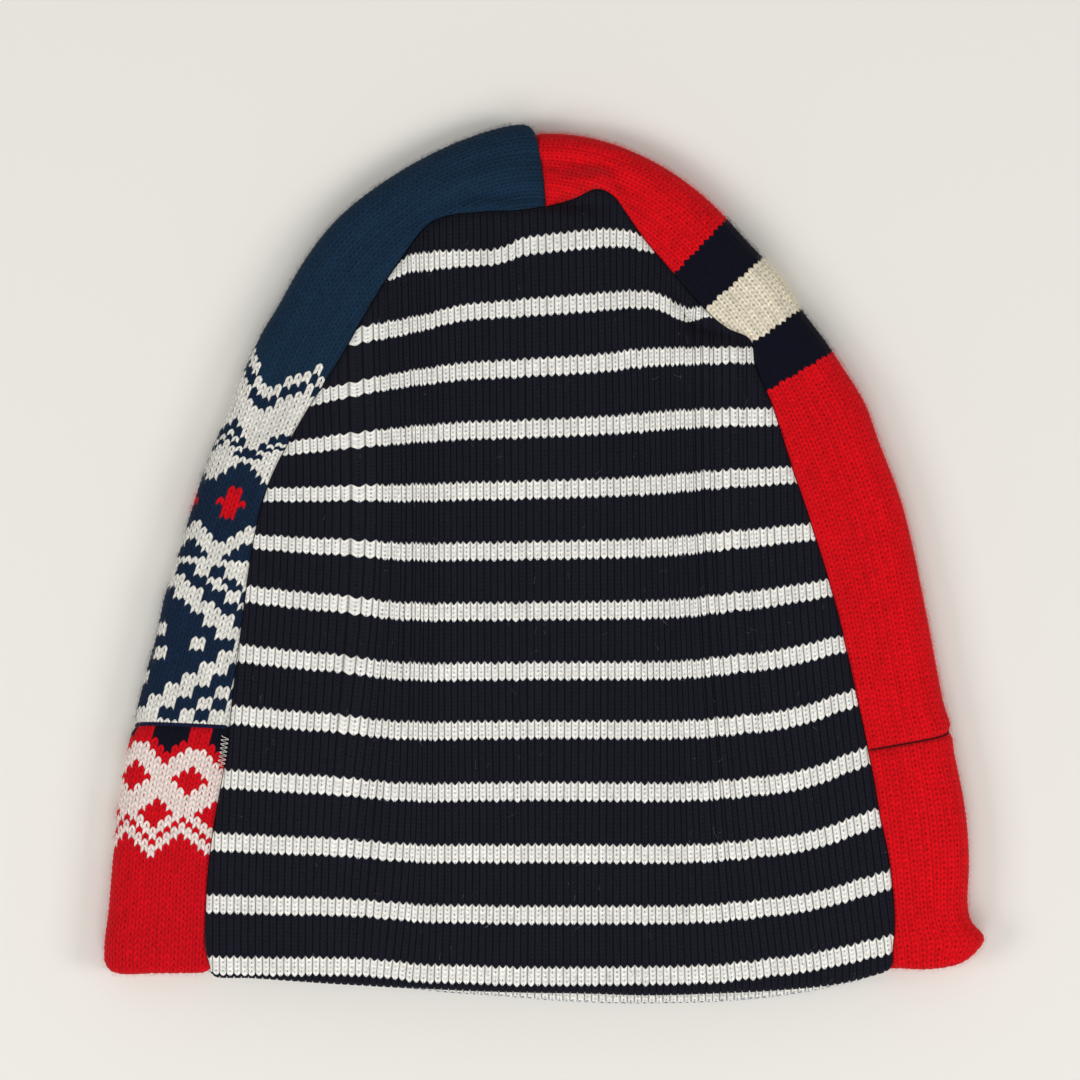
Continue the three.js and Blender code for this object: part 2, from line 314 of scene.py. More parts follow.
def yarn_colours(lattice, index, behind, gutter_shade, variation=0.05):
    """One colour for each face: the pattern's colour, a little different from stitch to stitch. The pin-holes
    get painted shade: the yarn behind, or the stitch's own yarn, darkened. Painted shade also darkens the
    gutters between wales."""
    colour = PALETTE[index]
    wales = lattice.wale_of_face - lattice.wale_of_face.min()
    courses = lattice.course_of_face - lattice.course_of_face.min()
    step = np.arange(index.shape[1]) % STEPS
    leg = (step > HOLE).astype(int)
    changes = rng.normal(0, variation, (courses.max() + 1, 2 * wales.max() + 2))
    streaks = rng.normal(0, variation * 0.6, 2 * wales.max() + 2)
    change = changes[courses, 2 * wales + leg] + streaks[2 * wales + leg]
    colour = colour * (1 + change)[..., None]
    lower_half = (np.arange(index.shape[0]) % 2 == 0)[:, None]
    openness = rng.uniform(0.2, 1, (courses.max() + 1, wales.max() + 1))[courses, wales]
    holes = ((step == HOLE) & lower_half) * openness
    # Painted shade in the pin-holes: the yarn behind darkened to 0.7, or the stitch's own yarn darkened to
    # 0.3.
    shade = np.where(np.isin(index, list(behind)), 0.7, 0.3)[..., None]
    shaded_back_yarn = PALETTE[np.vectorize(behind.get)(index, index)] * shade
    colour = colour * (1 - holes[..., None]) + shaded_back_yarn * holes[..., None]
    # Painted shade in the gutters between wales.
    in_gutter = (step == 0) | (step == STEPS - 1)
    return colour * np.where(in_gutter, np.where(lower_half, gutter_shade, (1 + gutter_shade) / 2), 1)[..., None]


# ---- Closed cloth meshes ----

surfaces = {}  # for each piece: points, normals and colours over its stitches, for its loose fibres
# The whole inner layer gets this much painted hollow shade.
LINING_HOLLOW_SHADE = 0.6


def make_piece(name, points, faces, colours, hollow_shades, smooth=True):
    """A piece whose faces carry the colour of their yarn, and whose vertices say how hollow they lie, for the
    material's painted shade.
    """
    mesh = bpy.data.meshes.new(name)
    mesh.from_pydata((points * MM).tolist(), [], faces)
    mesh.polygons.foreach_set("use_smooth", np.full(len(faces), smooth))
    tints = np.concatenate([colours, np.ones((len(faces), 1))], 1)
    yarn = mesh.attributes.new("yarn", "FLOAT_COLOR", "FACE")
    yarn.data.foreach_set("color", tints.astype(np.float32).ravel())
    hollow_shade = mesh.attributes.new("hollow_shade", "FLOAT", "POINT")
    hollow_shade.data.foreach_set("value", hollow_shades.astype(np.float32).ravel())
    mesh.update()
    piece = bpy.data.objects.new(name, mesh)
    bpy.context.scene.collection.objects.link(piece)
    return piece


def cloth_mesh(name, base, normal, relief, inside, colours, depth, inner_colour, fold_rows, column_step):
    """A closed sheet: the stitches outside, a coarse inner layer, and a rim between them."""
    points = base + normal * relief[..., None]
    keep = inside[:-1, :-1] | inside[1:, :-1] | inside[:-1, 1:] | inside[1:, 1:]
    rows, columns = base.shape[:2]
    number = np.arange(rows * columns).reshape(rows, columns)
    corners = np.stack([number[:-1, :-1], number[:-1, 1:], number[1:, 1:], number[1:, :-1]], -1)
    padded = np.pad(keep, 1)
    around = [padded[:-2, 1:-1], padded[1:-1, 2:], padded[2:, 1:-1], padded[1:-1, :-2]]
    rim_pairs, rim_faces = [], []
    for side, neighbour in enumerate(around):
        open_side = keep & ~neighbour
        rim_pairs.append(corners[open_side][:, [side, (side + 1) % 4]])
        rim_faces.append(colours[open_side])
    rim_pairs = np.concatenate(rim_pairs)
    rim_colours = np.concatenate(rim_faces)
    outer = corners[keep]
    surfaces[name] = (points[:-1, :-1][keep], normal[:-1, :-1][keep], colours[keep])

    on_rim = np.unique(rim_pairs)
    coarse = np.zeros((rows, columns), bool)
    coarse[np.ix_(fold_rows, np.arange(2, columns, column_step))] = True
    around_vertex = padded[:-1, :-1] & padded[1:, :-1] & padded[:-1, 1:] & padded[1:, 1:]
    coarse &= around_vertex
    middle = np.setdiff1d(number[coarse], on_rim)
    inner = np.concatenate([on_rim, middle])
    place = {v: i for i, v in enumerate(inner.tolist())}
    flat = [Vector((v % columns, v // columns)) for v in inner.tolist()]
    edges = [(place[a], place[b]) for a, b in rim_pairs.tolist()]
    found, _, triangles, origin, _, _ = delaunay_2d_cdt(flat, edges, [], 1, 1e-5)
    inner_of = [o[0] if o else 0 for o in origin]

    used = np.unique(outer)
    slot = np.full(rows * columns, -1)
    slot[used] = np.arange(len(used))
    flat_base, flat_normal = base.reshape(-1, 3), normal.reshape(-1, 3)
    inner_points = flat_base[inner] - flat_normal[inner] * CLOTH
    vertices = np.concatenate([points.reshape(-1, 3)[used], inner_points])
    inner_slot = np.full(rows * columns, -1)
    inner_slot[inner] = len(used) + np.arange(len(inner))

    quads = slot[outer]
    first, second = rim_pairs.T
    rim = np.stack([slot[second], slot[first], inner_slot[first], inner_slot[second]], 1)
    lining = [[len(used) + inner_of[i] for i in reversed(t)] for t in triangles]
    sample = vertices[quads[len(quads) // 2]]
    outward = np.cross(sample[2] - sample[0], sample[3] - sample[1]) @ flat_normal[outer[len(outer) // 2][0]]
    faces = quads.tolist() + rim.tolist() + lining
    if outward < 0:
        faces = [face[::-1] for face in faces]
    # Painted shade: the rim faces get half their yarn's colour.
    tints = np.concatenate([colours[keep], rim_colours * 0.5, np.tile(inner_colour, (len(lining), 1))])
    # The hollow of each vertex becomes painted shade in the material.
    hollow_shades = np.concatenate([depth.reshape(-1)[used], np.full(len(inner), LINING_HOLLOW_SHADE)])
    return make_piece(name, vertices, faces, np.clip(tints, 0, 1), hollow_shades)


# How hollow each vertex lies in its stitch, which the material paints as shade.
def hollow_shades_of(lattice, strength):
    return np.clip((1 - lattice.share) * 0.5, 0, 1) * strength


def seam_relief(lattice, clear, past):
    """The relief of the stitches, which fades out towards a seam and sinks into its groove."""
    groove = GROOVE_DEPTH * np.exp(-clear / GROOVE_WIDTH) * (past < HALF_TURN)
    return lattice.relief * (1 - np.exp(-clear / SEAM_FADE)) - groove


def inner_rows(angle, past, row_step):
    """The rows that the inner layer keeps: one in row_step, and every other one round the hem's fold."""
    turned = np.nonzero((angle > 0).any(1) & (past < HALF_TURN + 3).any(1))[0]
    return np.union1d(np.arange(3, len(angle), row_step), turned[::2])


# ---- The two panels ----

# How much higher than its middle a course lies at even steps across the panel, for seven courses: the
# course's place, the panel's left and right side there, and the heights from left to right.
COURSE_SHAPES = [
    (-123, -98.8, 104.0, (2.9, 3.0, 0.9, 0, 0.3, 2.8, 9.0)),
    (-68, -95.8, 97.4, (3.6, 1.8, -0.3, 0, -0.3, 1.5, 10.2)),
    (-13, -88.9, 86.6, (5.1, 2.1, -0.3, 0, 0.3, 2.6, 6.9)),
    (42, -73.9, 68.6, (-5.7, -3.0, -0.9, 0, 1.1, 3.0, 3.6)),
    (60, -65.0, 58.0, (-8.5, -4.2, -1.3, 0, 1.3, 3.4, 3.8)),
    (78, -55.0, 47.0, (-8.5, -5.2, -1.4, 0, 1.3, 2.4, 0)),
    (97, -43.9, 32.6, (-7.3, -3.8, -3.6, 0, 1.8, 2.8, 0.6)),
]
# How far a course lies from its even place: its number, and the difference in y.
COURSE_PLACES = smooth_table([
    (-30, 0), (2, -0.1), (30, -0.25), (58, 0), (72, -0.9), (86, -1.4), (114, -2.0), (142, -2.3), (156, -2.7),
    (170, -3.0), (190, -3.4),
])
SHARES = np.linspace(-1.15, 1.15, 70)
shape_rows = []
for course_y, left, right, heights in COURSE_SHAPES:
    curve = smooth_curve(list(zip(np.linspace(-1, 1, 7), heights)))
    first = np.polyfit(curve[:9, 0], curve[:9, 1], 1)
    last = np.polyfit(curve[-9:, 0], curve[-9:, 1], 1)
    lifts = np.interp(SHARES, curve[:, 0], curve[:, 1])
    lifts = np.where(SHARES < -1, np.polyval(first, SHARES), lifts)
    lifts = np.where(SHARES > 1, np.polyval(last, SHARES), lifts)
    shape_rows.append([course_y, (left + right) / 2, (right - left) / 2, *lifts])
shape_rows = smooth_curve(shape_rows, 24)
shape_y = shape_rows[:, 0]


def course_lift(x, y):
    """The lift of a course at x, and its slope there."""
    middle, half = (np.interp(y, shape_y, shape_rows[:, i]) for i in (1, 2))
    share = (np.clip((x - middle) / half, -1.14, 1.14) - SHARES[0]) / (SHARES[1] - SHARES[0])
    row = np.interp(y, shape_y, np.arange(len(shape_y)))
    c, r = share.astype(int), np.minimum(row.astype(int), len(shape_y) - 2)
    part_c, part_r = share - c, row - r
    table = shape_rows[:, 3:]
    below = table[r, c] * (1 - part_c) + table[r, c + 1] * part_c
    above = table[r + 1, c] * (1 - part_c) + table[r + 1, c + 1] * part_c
    slope = (table[r, c + 1] - table[r, c]) / (SHARES[1] - SHARES[0]) / half
    return below * (1 - part_r) + above * part_r, slope


# Places where the seam pulls the cloth: x, y, pull in x and in y, and reach.
PULLS = [(43, 78, 0, -3.2, 6)]


def panel_plan(lattice, first_y):
    """The flat lattice of a panel, with its courses curved and its wales square to them."""
    x = np.empty(lattice.u.shape)
    row_y = first_y + lattice.v * RIB_COURSE + COURSE_PLACES(lattice.v)
    zero = int(np.argmin(np.abs(lattice.v[:, 0])))
    x[zero] = lattice.u[zero] * RIB_WALE
    for rows, way in ((range(zero + 1, len(x)), 1), (range(zero - 1, -1, -1), -1)):
        for row in rows:
            before = row - way
            _, slope = course_lift(x[before], row_y[before])
            share = np.interp(row_y[before, 0], [first_y, first_y + 1, -60, 15], [0, 1, 1, 0.2])
            lean = share * np.clip(slope, -0.16, 0.13)
            x[row] = x[before] - lean * (row_y[row] - row_y[before])
    y = first_y + lattice.v_slanted * RIB_COURSE + COURSE_PLACES(lattice.v)
    lift, _ = course_lift(x, y)
    y = y + lift
    for at_x, at_y, pull_x, pull_y, reach in PULLS:
        near = bell(np.hypot(x - at_x, y - at_y) / reach)
        x, y = x + pull_x * near, y + pull_y * near
    return x, y


FIRST_COURSE_Y = -125.5
FRONT_BRIM = smooth_table([
    (-112, -122.5), (-99, -123), (-87, -123), (-72, -124), (-42, -125.7), (-12, -127), (15, -127.5),
    (30, -128), (51, -127.5), (75, -126.3), (90, -124.6), (104, -121.2), (116, -119),
])
BACK_BRIM = smooth_table([
    (-112, -121), (-99, -122), (-72, -124.2), (-54, -125.4), (-42, -126.6), (-30, -127.8), (-9, -129.3),
    (6, -130.5), (24, -131.2), (51, -130.8), (64, -129.9), (78, -128.1), (87, -126.3), (96, -124.2),
    (104, -121), (116, -119),
])
PANEL_WALES = (-62, 68)
PANEL_COURSES = (-22, 184)
STRIPE_REPEAT = 14  # courses from one white stripe to the next
STRIPE_COURSES = 4
LAST_STRIPE = 176  # the courses from here to the crown are plain
GREY_FROM = 0.38 * HALF_TURN  # where the back hem's colours begin, round the fold
WHITE_FROM = 0.66 * HALF_TURN


def rib_pattern(wale, course):
    return np.where((course % STRIPE_REPEAT < STRIPE_COURSES) & (course < LAST_STRIPE), I_WHITE, I_NAVY)


def panel(name, seam, brim, outward):
    """A rib panel from the hem's end inside the brim, round the fold and up to the crown."""
    lattice = Lattice(PANEL_WALES, PANEL_COURSES, 0.85, RIB_RELIEF, 0.36)
    x, y = panel_plan(lattice, FIRST_COURSE_Y)
    turn_y = brim(x) + FOLD_RADIUS
    past = turn_y - y
    last = HALF_TURN + HEM
    inside = past < last
    past = np.minimum(past, last)
    angle = np.clip(past / FOLD_RADIUS, 0, math.pi)
    y = np.where(past > 0, turn_y - FOLD_RADIUS * np.sin(angle) + np.maximum(past - HALF_TURN, 0), y)

    clear, inward = inside_curve(x, y, seam)
    outside = clear < SEAM_GAP
    inside &= ~outside
    x = np.where(outside, x + inward[..., 0] * (SEAM_GAP - clear), x)
    y = np.where(outside, y + inward[..., 1] * (SEAM_GAP - clear), y)
    clear = np.maximum(clear, SEAM_GAP)

    _, from_edge = nearest(x, y, edge_xy)
    if outward > 0:
        z = upper_height(from_edge) + folds_at(x, y)
    else:
        z = np.full(x.shape, FLOOR_GAP)
    z = z - outward * FOLD_RADIUS * (1 - np.cos(angle))
    base = np.stack([x, y, z], -1)
    normal = np.stack([x * 0, -np.sin(angle), outward * np.cos(angle)], -1)
    relief = seam_relief(lattice, clear, past)
    index = rib_pattern(lattice.wale_of_face, lattice.course_of_face)
    if outward < 0:
        # The back hem, seen inside the brim: a blue-grey edge and then white.
        index = np.where(past[:-1, :-1] > GREY_FROM, I_GREY, index)
        index = np.where(past[:-1, :-1] > WHITE_FROM, I_WHITE, index)
    # The grey in the white stitches' pin-holes and the darker gutters are painted shade.
    colours = yarn_colours(lattice, index, {I_WHITE: I_GREY}, 0.7)
    rows = inner_rows(angle, past, 12)
    hollow_shades = hollow_shades_of(lattice, 1.0)
    return cloth_mesh(name, base, normal, relief, inside, colours, hollow_shades, NAVY, rows, 3 * STEPS)


# ---- The side band ----

roll_angles = np.linspace(0, math.pi / 2, 200)
roll_profile = np.stack([ROLL * (1 - np.cos(roll_angles)), EDGE_HEIGHT / 2 * np.sin(roll_angles)], 1)
roll_arc = arc_lengths(roll_profile)
QUARTER = roll_arc[-1]


def band_distance(t):
    """Distance in from the folded edge on the plan, of a place t along the cloth from the fold."""
    angle = np.interp(np.minimum(np.abs(t), QUARTER), roll_arc, roll_angles)
    return ROLL * (1 - np.cos(angle)) + np.maximum(np.abs(t) - QUARTER, 0)


def band_surface(s, t, crown_step=0.0):
    """The band's outer surface: s runs along the folded edge, and t over it, positive on the front."""
    angle = np.sign(t) * np.interp(np.minimum(np.abs(t), QUARTER), roll_arc, roll_angles)
    distance = band_distance(t)
    middle = (EDGE_HEIGHT + FLOOR_GAP) / 2
    half = (EDGE_HEIGHT - FLOOR_GAP) / 2
    flat_in = along_edge(edge_in, s)
    xy = along_edge(edge_xy, s) + flat_in * (distance - edge_bulge(s, distance, crown_step))[..., None]
    z = middle + half * np.sin(angle)
    z = np.where(t > QUARTER, upper_height(distance), z)
    z = z + folds_at(xy[..., 0], xy[..., 1]) * np.clip(t / QUARTER, 0, 1)
    out = np.stack([-np.cos(angle) * half, np.sin(angle) * ROLL], -1)
    out /= np.linalg.norm(out, axis=-1)[..., None]
    normal = np.concatenate([flat_in * out[..., :1], out[..., 1:]], -1)
    return np.concatenate([xy, z[..., None]], -1), normal


def front_seam_t(s):
    return QUARTER + front_width(np.clip(s, 0, EDGE_LENGTH)) - ROLL


BACK_SEAM_T = QUARTER + BAND_ON_BACK - ROLL

# How far the brim lies from the end of the edge, for places across the band.
left_brim = smooth_table([
    (-40, 0.4), (-9, -1.0), (-3, -0.6), (0, 0.9), (3, -0.6), (9, -1.1), (18, -0.4), (40, 0.8),
])
right_brim = smooth_table([
    (-40, 2.6), (-9, 2.0), (-3, 3.6), (0, 5.2), (3, 3.8), (9, 2.0), (18, 1.5), (26, 2.6), (40, 4),
])


def left_cross(t):
    return 71.6 + 0.21 * np.maximum(t, 0)


def crown_cross(t):
    return 301.7 + 0.25 * np.maximum(t, 0)


def right_cross(t):
    return EDGE_LENGTH - 68.2 - 1.6 * np.exp(-np.abs(t) / 4)


def band(
    name, courses, course, first_s, skew, slant, low, high, brim, pattern, inner_colour, crown_step=0.0
):
    """A piece of the band. low and high give the places of its ends along the edge. A piece with a brim
    table has a hem at the end that lies at the brim: brim is (side, table), side -1 at the left end."""
    lattice = Lattice((-16, 20), courses, slant, KNIT_RELIEF, 0.34)
    t = lattice.u * KNIT_WALE - 0.5 * KNIT_WALE + 0.1
    plain_s = first_s + lattice.v_slanted * course
    s = plain_s + skew(plain_s) * np.maximum(t, 0)
    inside = np.ones(s.shape, bool)
    angle = np.zeros(s.shape)
    past = np.full(s.shape, -100.0)
    side = 0
    if brim:
        side, table = brim
        turn_at = table(np.clip(t, -40, 40))
        from_brim = s if side < 0 else EDGE_LENGTH - s
        past = turn_at - from_brim
        inside &= past < HALF_TURN + HEM
        past = np.minimum(past, HALF_TURN + HEM)
        angle = np.clip(past / FOLD_RADIUS, 0, math.pi)
        folded = turn_at - FOLD_RADIUS * np.sin(angle) + np.maximum(past - HALF_TURN, 0)
        from_brim = np.where(past > 0, folded, from_brim)
        s = from_brim if side < 0 else EDGE_LENGTH - from_brim
    clear = np.full(s.shape, 99.0)
    for _ in range(2):
        for limit, sign in ((low, 1), (high, -1)):
            if limit is None:
                continue
            room = sign * (s - limit(t)) - SEAM_GAP
            inside &= room > 0
            s = np.where(room < 0, s - sign * room, s)
            clear = np.minimum(clear, np.maximum(room, 0))
        room = front_seam_t(s) - t - SEAM_GAP
        inside &= room > 0
        t = np.where(room < 0, t + room, t)
        clear = np.minimum(clear, np.maximum(room, 0))
        room = t + BACK_SEAM_T - SEAM_GAP
        inside &= room > 0
        t = np.where(room < 0, t - room, t)
        clear = np.minimum(clear, np.maximum(room, 0))
    base, normal = band_surface(s, t, crown_step)
    way = along_edge(edge_way, s) * side
    outer = np.concatenate([way, np.zeros((*s.shape, 1))], -1)
    base = base - normal * (FOLD_RADIUS * (1 - np.cos(angle)))[..., None]
    normal = normal * np.cos(angle)[..., None] + outer * np.sin(angle)[..., None]
    relief = seam_relief(lattice, clear, past)
    index = pattern(lattice.wale_of_face, lattice.course_of_face)
    # The pin-holes show the other yarn with painted shade, and the gutters get painted shade.
    colours = yarn_colours(lattice, index, {I_LIGHT: I_DEEP, I_PINK: I_CRIMSON}, 0.82)
    rows = inner_rows(angle, past, 8)
    hollow_shades = hollow_shades_of(lattice, 0.9)
    return cloth_mesh(name, base, normal, relief, inside, colours, hollow_shades, inner_colour, rows, STEPS)


# ---- Patterns of the band ----

def red_lattice_pattern(wale, course):
    """Pinkish-white lattice with red diamonds, at the top of the lower left piece."""
    row = -course - 1
    from_peak = np.abs((wale - 3 + 4) % 8 - 4)
    bottom = 13 + from_peak
    white = (row >= np.maximum(1, from_peak)) & (row <= bottom - 1)
    white &= from_peak + np.abs(row - 6) > 2
    white &= (4 - from_peak) + np.abs(row - 12) > 2
    white |= (row >= bottom + 1) & (row <= bottom + 2)
    tuft = (from_peak >= np.clip(row + 3, 2, 4)) & (row < 2)
    return np.where(tuft, I_BAND_NAVY, np.where(white, I_PINK, I_CRIMSON))


def star_pattern(wale, course):
    """A star, a row of red diamonds and two zigzags on the upper left piece, with plain teal above."""
    row = course
    # The star has steps of two wales and two courses either side of course 13.5.
    drift = np.round(0.22 * np.clip(row - 12.5, 0, 14)).astype(int)
    k = np.abs(wale) + drift
    step = (np.where(row < 14, row, 27 - row) + 1) // 2
    out = k - 2 * step
    star = (out >= -1) & (out <= 2) | (out == 6) | (out == 7) | (out >= 10)
    apex = (row == 13) | (row == 14)
    dot = apex & ((k == 7) | (k == 8) | (wale == 0))
    dot |= ((np.abs(row - 11.5) < 1) | (np.abs(row - 15.5) < 1)) & ((k == 2) | (k == 3))
    dot |= (np.abs(row - 7.5) < 1) & (k <= 1)
    light = star | dot | (row == 0) | (row == 27)

    # Diamonds, with a light line and dark peaks under them.
    from_red = np.minimum(np.abs(wale - 6.5), np.abs(wale + 1))
    from_red = np.minimum(from_red, np.abs(wale - 14.5))
    off = np.abs(row - 37)
    diamond = from_red + off < 7
    under = from_red + (37 - row)
    light = np.where(row >= 28, ~diamond & (under < 10), light)
    zig = 43 + (1.6 * from_red).astype(int)
    line = (row == zig) | (row == zig + 2) | (row == zig + 3)
    from_tip = np.abs(wale % 11 - 5.5)
    second = 55 + (1.3 * from_tip).astype(int)
    light = np.where(row >= 37, ~diamond & ~line & (row < second), light)
    light |= (row >= second + 2) & (row < second + 4)
    index = np.where(light, I_LIGHT, I_DEEP)
    red = (from_red + 0.75 * off < 2.1) & (off < 3)
    index = np.where(red, I_CRIMSON, index)
    return np.where(row >= second + 4, I_TEAL, index)


# The bars, as places along the edge: where each one starts and ends, and its colour.
BARS = [(366.5, 383, I_BAND_NAVY), (383, 402, I_CREAM), (402, 418, I_BAND_NAVY)]


def bars_pattern(wale, course):
    """Red with navy, cream and navy bars."""
    s = CROWN + course * PLAIN_COURSE
    index = np.full(np.shape(course), I_SCARLET)
    for start, end, colour in BARS:
        index = np.where((s >= start) & (s < end), colour, index)
    return index


def plain_pattern(wale, course):
    return np.full(np.shape(course), I_SCARLET)


def no_skew(s):
    return 0 * s


def low_skew(s):
    return 0.11 + 0 * s


high_skew = smooth_table([
    (40, 0.17), (75, 0.19), (140, 0.2), (154, 0.28), (167, 0.07), (185, 0.03), (330, 0.1),
])


# ---- Materials ----

def knit_material(name, heather, fuzz):
    """Yarn colour from the stitches, with painted shade in their hollows, and heather, fibres and a soft
    sheen.
    """
    material = bpy.data.materials.new(name)
    material.use_nodes = True
    tree = material.node_tree
    nodes, links = tree.nodes, tree.links
    nodes.clear()
    output = nodes.new("ShaderNodeOutputMaterial")
    shader = nodes.new("ShaderNodeBsdfPrincipled")
    links.new(shader.outputs[0], output.inputs["Surface"])
    yarn = nodes.new("ShaderNodeAttribute")
    yarn.attribute_name = "yarn"
    hollow_shade = nodes.new("ShaderNodeAttribute")
    hollow_shade.attribute_name = "hollow_shade"
    place = nodes.new("ShaderNodeTexCoord")

    def noise(scale, detail):
        node = nodes.new("ShaderNodeTexNoise")
        node.inputs["Scale"].default_value = scale
        node.inputs["Detail"].default_value = detail
        links.new(place.outputs["Object"], node.inputs["Vector"])
        return node.outputs["Fac"]

    def ramp(value, low, high, to_low, to_high):
        node = nodes.new("ShaderNodeMapRange")
        node.inputs["From Min"].default_value = low
        node.inputs["From Max"].default_value = high
        node.inputs["To Min"].default_value = to_low
        node.inputs["To Max"].default_value = to_high
        links.new(value, node.inputs["Value"])
        return node.outputs["Result"]

    def times(a, b):
        node = nodes.new("ShaderNodeMath")
        node.operation = "MULTIPLY"
        links.new(a, node.inputs[0])
        links.new(b, node.inputs[1])
        return node.outputs[0]

    fine = noise(2600, 2)
    patches = noise(60, 3)
    shade = times(ramp(fine, 0.3, 0.7, 1 - heather, 1 + heather), ramp(patches, 0.3, 0.7, 0.96, 1.04))
    # Painted shade: the colour darkens down to 0.28 in the stitches' hollows.
    shade = times(shade, ramp(hollow_shade.outputs["Fac"], 0, 1, 1.0, 0.28))
    tint = nodes.new("ShaderNodeVectorMath")
    tint.operation = "SCALE"
    links.new(yarn.outputs["Color"], tint.inputs[0])
    links.new(shade, tint.inputs["Scale"])
    links.new(tint.outputs[0], shader.inputs["Base Color"])
    links.new(ramp(fine, 0.3, 0.7, 0.82, 0.98), shader.inputs["Roughness"])
    bump = nodes.new("ShaderNodeBump")
    bump.inputs["Strength"].default_value = 0.5
    bump.inputs["Distance"].default_value = 0.00012
    links.new(noise(4200, 3), bump.inputs["Height"])
    links.new(bump.outputs[0], shader.inputs["Normal"])
    shader.inputs["Specular IOR Level"].default_value = 0.1
    shader.inputs["Sheen Weight"].default_value = fuzz
    shader.inputs["Sheen Roughness"].default_value = 0.5
    return material


rib_yarn = knit_material("rib_yarn", 0.12, 0.02)
wool = knit_material("wool", 0.2, 0.05)


# ---- The pieces ----

pieces = {}
pieces["front_panel"] = panel("front_panel_knit", front_seam, FRONT_BRIM, 1)
pieces["back_panel"] = panel("back_panel_knit", back_seam, BACK_BRIM, -1)
pieces["side_band_left_lower"] = band(
    "side_band_left_lower_knit", (-54, 8), JACQUARD_COURSE, 68.8, low_skew, -0.6, None, left_cross,
    (-1, left_brim), red_lattice_pattern, CRIMSON,
)
pieces["side_band_left_upper"] = band(
    "side_band_left_upper_knit", (-3, 128), JACQUARD_COURSE, 72, high_skew, -0.6, left_cross, crown_cross,
    None, star_pattern, TEAL, 1.3,
)
pieces["side_band_right_upper"] = band(
    "side_band_right_upper_knit", (-2, 152), PLAIN_COURSE, CROWN, no_skew, 0.6, crown_cross, right_cross,
    None, bars_pattern, SCARLET, -1.7,
)
pieces["side_band_right_lower"] = band(
    "side_band_right_lower_knit", (146, 210), PLAIN_COURSE, CROWN, no_skew, 0.6, right_cross, None,
    (1, right_brim), plain_pattern, SCARLET,
)
for node, piece in pieces.items():
    piece.data.materials.append(rib_yarn if "panel" in node else wool)
    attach(piece, "root")
    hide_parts(node)


# ---- Overlocked seams on the inside, and the threads in the cross seams ----

def tube_mesh(name, path, side, up, half_width, half_height, wrap, colour):
    """A closed tube along a path, flattened, with threads wrapped round it."""
    sides = 12
    angles = np.linspace(0, 2 * math.pi, sides, endpoint=False)
    along = arc_lengths(path)[:, None]
    swell = 1 + wrap[1] * np.sin(2 * math.pi * along / wrap[0] + angles)
    ends = np.clip(np.minimum(along, along[-1] - along) / half_height, 0.05, 1) ** 0.5
    x = half_width * swell * ends * np.cos(angles)
    z = half_height * swell * ends * np.sin(angles)
    points = path[:, None] + side[:, None] * x[..., None] + up[:, None] * z[..., None]
    rings = len(path)
    ring, turn = np.meshgrid(np.arange(rings - 1), np.arange(sides), indexing="ij")
    after = (turn + 1) % sides
    here, there = ring * sides, (ring + 1) * sides
    quads = np.stack([here + turn, here + after, there + after, there + turn], -1).reshape(-1, 4)
    faces = quads.tolist()
    faces.append(list(range(sides))[::-1])
    faces.append([(rings - 1) * sides + i for i in range(sides)])
    thread = (quads[:, 0] // sides // 3) % 7
    tints = np.concatenate([colour * (0.85 + 0.05 * thread)[:, None], [colour, colour]])
    # Painted shade where the wrapped threads pinch the tube.
    hollow_shades = np.clip(0.5 - 2 * (swell - 1), 0, 1)
    piece = make_piece(name, points.reshape(-1, 3), faces, tints, hollow_shades)
    piece.data.materials.append(wool)
    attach(piece, "root")
    return piece


def seam_tube(name, s, t, depth, half_width, half_height, wrap, colour):
    """A tube that follows the band's cloth at a depth under its surface."""
    point, normal = band_surface(s, t)
    path = point - normal * depth
    way = np.gradient(path, axis=0)
    way /= np.linalg.norm(way, axis=1)[:, None]
    side = np.cross(way, normal)
    side /= np.linalg.norm(side, axis=1)[:, None]
    return tube_mesh(name, path, side, np.cross(side, way), half_width, half_height, wrap, colour)


NAVY_THREAD = srgb(24, 26, 40)
WHITE_THREAD = srgb(244, 240, 232)
OVERLOCK = dict(depth=CLOTH + 1.1, half_width=3.0, half_height=0.65, wrap=(1.5, 0.1))
SEAM_START = HEM + 4
SEAM_STEP = 0.45
CROSS_SEAM_END = 5  # a cross seam's overlocking stops this far short of the long seams
seam_runs = {
    "left": np.arange(SEAM_START, CROWN - 2, SEAM_STEP),
    "right": np.arange(CROWN + 4, EDGE_LENGTH - SEAM_START, SEAM_STEP),
}
cross_lines = {"left": left_cross, "crown": crown_cross, "right": right_cross}
seam_tubes = {}
for side, run in seam_runs.items():
    for face, t in (("front", front_seam_t(run)), ("back", np.full(len(run), -BACK_SEAM_T))):
        tube = seam_tube(f"{face}_{side}_overlock", run, t, colour=NAVY_THREAD, **OVERLOCK)
        seam_tubes[f"{face}_{side}_seam"] = tube
for side, line in cross_lines.items():
    front_end = front_seam_t(line(np.zeros(1)))[0] - CROSS_SEAM_END
    across = np.arange(-BACK_SEAM_T + CROSS_SEAM_END, front_end, SEAM_STEP)
    tube = seam_tube(f"{side}_cross_overlock", line(across), across, colour=NAVY_THREAD, **OVERLOCK)
    seam_tubes[f"{side}_cross_seam"] = tube
for node, piece in seam_tubes.items():
    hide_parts(node)

